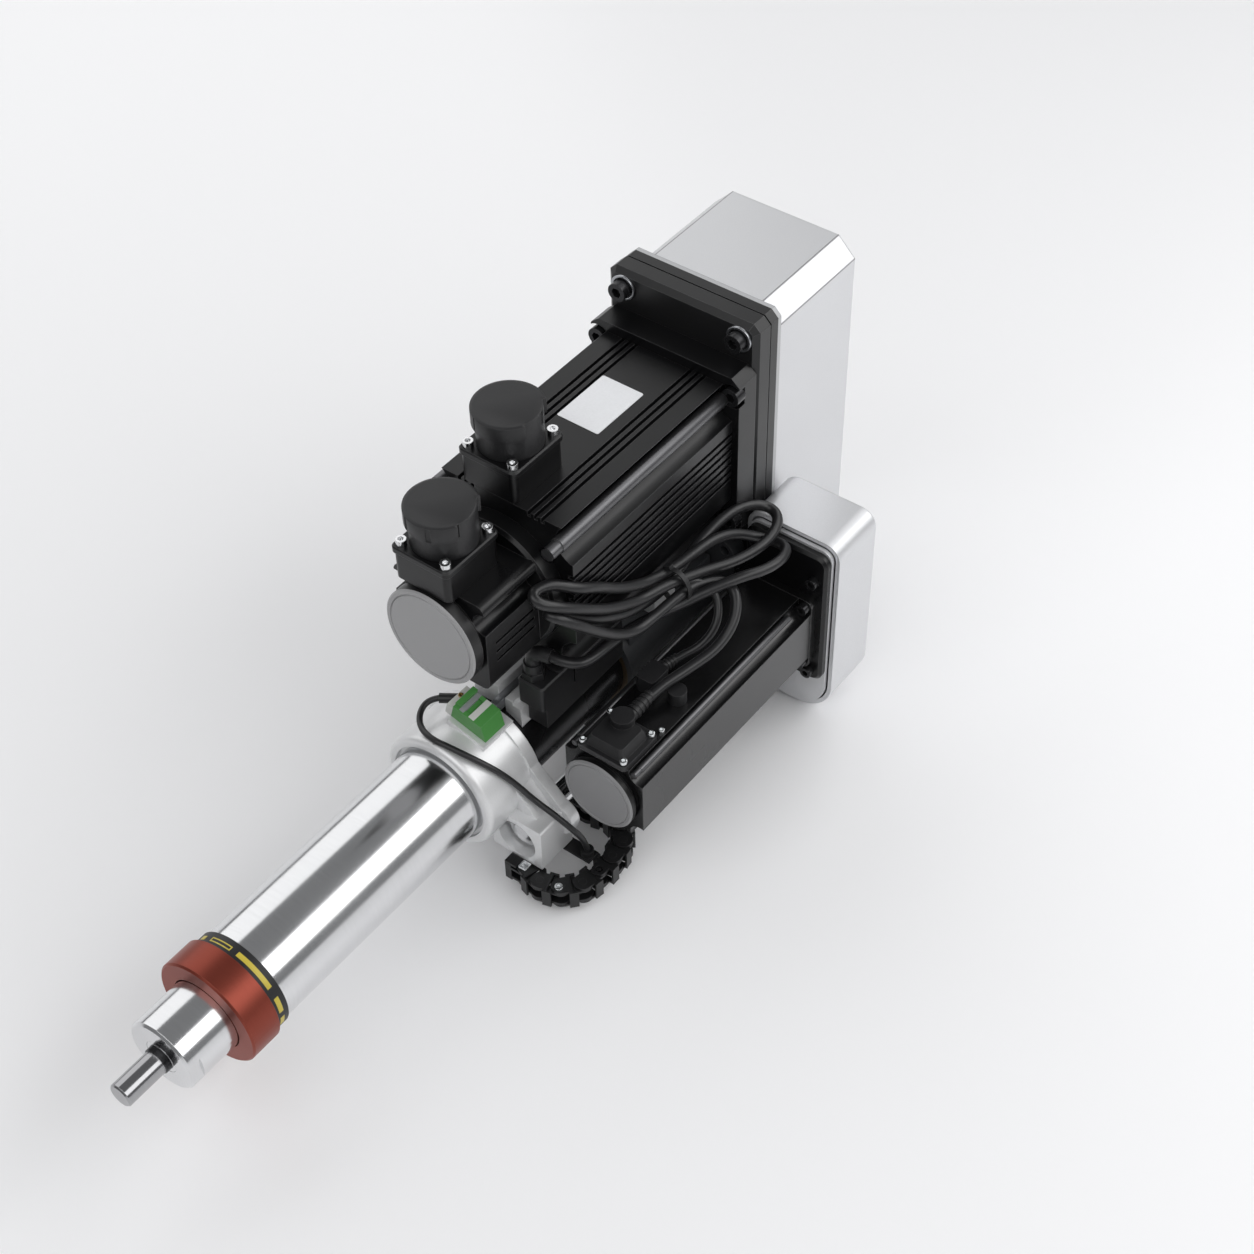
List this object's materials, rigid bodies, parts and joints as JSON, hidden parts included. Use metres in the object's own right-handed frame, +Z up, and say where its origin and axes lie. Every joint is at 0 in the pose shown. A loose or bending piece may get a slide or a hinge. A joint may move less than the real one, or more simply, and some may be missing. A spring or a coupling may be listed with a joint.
{
  "type": "drilling and tapping spindle unit",
  "caption": "Servo driven drilling and tapping spindle unit with a feeding quill, belt drive housings, feed servo, guide bridge and cable drag chain.",
  "frame": {"origin": "centre of the machined underside of the foot", "axes": "-Y along the spindle towards the tool, +Z up to the spindle motor, +X towards the feed motor"},
  "size_m": [0.186, 0.643, 0.309],
  "materials": {
    "chromed_steel": "polished",
    "satin_aluminium": "satin",
    "cast_aluminium": "fine cast, bead blasted",
    "grey_casting": "painted dark grey",
    "black_frame": "satin black",
    "red_anodised": "anodised",
    "black_plastic": "fine texture",
    "grey_cap": "satin",
    "green_plastic": "moulded",
    "cable_sheath": "smooth sheath",
    "belt_rubber": "toothed belt",
    "steel": "ground",
    "black_steel": "black oxide",
    "bronze": "machined"
  },
  "bodies": {
    "unit_frame": {"main_body": "grey_casting", "quill_bush": "bronze", "guide_bridge": "cast_aluminium", "terminal_box": "black_plastic", "cable_gland": "black_plastic", "drive_plate": "black_frame", "drive_bearings": "steel", "drive_housing": "satin_aluminium", "motor_frame": "black_frame", "motor_flange": "black_frame", "motor_end_bell": "black_frame", "encoder_cap": "grey_cap", "motor_sockets": "black_frame", "socket_caps": "black_plastic", "socket_screws": "chromed_steel", "cap_screws": "black_steel", "feed_screws": "black_steel", "feed_plate": "black_frame", "feed_cover": "satin_aluminium", "feed_housing": "satin_aluminium", "feed_motor": "black_frame", "feed_encoder_cap": "grey_cap", "feed_connector": "black_plastic", "feed_signal_plug": "black_plastic", "chain_arm": "black_plastic", "spindle_belt": "belt_rubber", "feed_belt": "belt_rubber", "feed_lead": "cable_sheath", "signal_lead": "cable_sheath", "cable_hank": "cable_sheath", "feed_tail": "cable_sheath"},
    "feed_carriage": {"feed_head": "cast_aluminium", "spindle_sleeve": "chromed_steel", "stripe_band": "black_plastic", "nose_collar": "red_anodised", "guide_tube": "black_steel", "thrust_rod": "chromed_steel", "ball_nut": "steel", "guide_key": "steel", "home_sensor": "green_plastic", "sensor_lead": "cable_sheath", "chain_foot": "black_plastic", "spindle_bearings": "steel"},
    "spindle": {"spindle_shaft": "chromed_steel", "arbor": "chromed_steel"},
    "drive_hub": {"spindle_pulley": "steel"},
    "motor_rotor": {"motor_shaft": "steel", "drive_pulley": "steel"},
    "feed_rotor": {"feed_motor_pulley": "steel"},
    "feed_screw": {"ball_screw": "steel", "screw_pulley": "steel"},
    "link_1": {"chain_link_1": "black_plastic"},
    "link_2": {"chain_link_2": "black_plastic"},
    "link_3": {"chain_link_3": "black_plastic"},
    "link_4": {"chain_link_4": "black_plastic"},
    "link_5": {"chain_link_5": "black_plastic"},
    "link_6": {"chain_link_6": "black_plastic"},
    "link_7": {"chain_link_7": "black_plastic"},
    "link_8": {"chain_link_8": "black_plastic"},
    "link_9": {"chain_link_9": "black_plastic"}
  },
  "joints": [
    {"name": "feed_slide", "type": "slide", "parent": "unit_frame", "child": "feed_carriage", "axis": [0, -1, 0], "range_m": [0, 0.04]},
    {"name": "motor_spin", "type": "hinge", "parent": "unit_frame", "child": "motor_rotor", "pos_m": [0, 0.1, 0.201], "axis": [0, -1, 0], "continuous": true},
    {"name": "hub_spin", "type": "hinge", "parent": "unit_frame", "child": "drive_hub", "pos_m": [0, 0.1, 0.07], "axis": [0, -1, 0], "continuous": true},
    {"name": "spindle_spin", "type": "hinge", "parent": "feed_carriage", "child": "spindle", "pos_m": [0, -0.2, 0.07], "axis": [0, -1, 0], "continuous": true},
    {"name": "screw_spin", "type": "hinge", "parent": "unit_frame", "child": "feed_screw", "pos_m": [0.0457, 0.05, 0.0398], "axis": [0, 1, 0], "range_deg": [0, 1440]},
    {"name": "feed_motor_spin", "type": "hinge", "parent": "unit_frame", "child": "feed_rotor", "pos_m": [0.0882, 0.05, 0.0841], "axis": [0, 1, 0], "range_deg": [0, 1440]},
    {"name": "link_1_pivot", "type": "hinge", "parent": "unit_frame", "child": "link_1", "pos_m": [0.054, -0.11614, 0.014], "axis": [0, 0, -1], "range_deg": [0, 52]},
    {"name": "link_2_pivot", "type": "hinge", "parent": "link_1", "child": "link_2", "pos_m": [0.06752, -0.11251, 0.014], "axis": [0, 0, -1], "range_deg": [-23, 0]},
    {"name": "link_3_pivot", "type": "hinge", "parent": "link_2", "child": "link_3", "pos_m": [0.08091, -0.11661, 0.014], "axis": [0, 0, -1], "range_deg": [-16, 0]},
    {"name": "link_4_pivot", "type": "hinge", "parent": "link_3", "child": "link_4", "pos_m": [0.0901, -0.12717, 0.014], "axis": [0, 0, -1], "range_deg": [-11, 0]},
    {"name": "link_5_pivot", "type": "hinge", "parent": "link_4", "child": "link_5", "pos_m": [0.09229, -0.141, 0.014], "axis": [0, 0, -1], "range_deg": [-2, 0]},
    {"name": "link_9_pivot", "type": "hinge", "parent": "feed_carriage", "child": "link_9", "pos_m": [0.054, -0.17986, 0.014], "axis": [0, 0, 1], "range_deg": [0, 52]},
    {"name": "link_8_pivot", "type": "hinge", "parent": "link_9", "child": "link_8", "pos_m": [0.06752, -0.18349, 0.014], "axis": [0, 0, 1], "range_deg": [-23, 0]},
    {"name": "link_7_pivot", "type": "hinge", "parent": "link_8", "child": "link_7", "pos_m": [0.08091, -0.17939, 0.014], "axis": [0, 0, 1], "range_deg": [-16, 0]},
    {"name": "link_6_pivot", "type": "hinge", "parent": "link_7", "child": "link_6", "pos_m": [0.0901, -0.16883, 0.014], "axis": [0, 0, 1], "range_deg": [-11, 0]}
  ],
  "couplings": [
    {"joint": "hub_spin", "follows": "motor_spin", "ratio": 0.8},
    {"joint": "spindle_spin", "follows": "motor_spin", "ratio": 0.8},
    {"joint": "screw_spin", "follows": "feed_slide", "rad_per_m": 628.32},
    {"joint": "feed_motor_spin", "follows": "feed_slide", "rad_per_m": 628.32},
    {"joint": "link_1_pivot", "follows": "feed_slide", "rad_per_m": 22.689},
    {"joint": "link_2_pivot", "follows": "feed_slide", "rad_per_m": -10.036},
    {"joint": "link_3_pivot", "follows": "feed_slide", "rad_per_m": -6.9813},
    {"joint": "link_4_pivot", "follows": "feed_slide", "rad_per_m": -4.7997},
    {"joint": "link_5_pivot", "follows": "feed_slide", "rad_per_m": -0.87266},
    {"joint": "link_9_pivot", "follows": "feed_slide", "rad_per_m": 22.689},
    {"joint": "link_8_pivot", "follows": "feed_slide", "rad_per_m": -10.036},
    {"joint": "link_7_pivot", "follows": "feed_slide", "rad_per_m": -6.9813},
    {"joint": "link_6_pivot", "follows": "feed_slide", "rad_per_m": -4.7997}
  ]
}
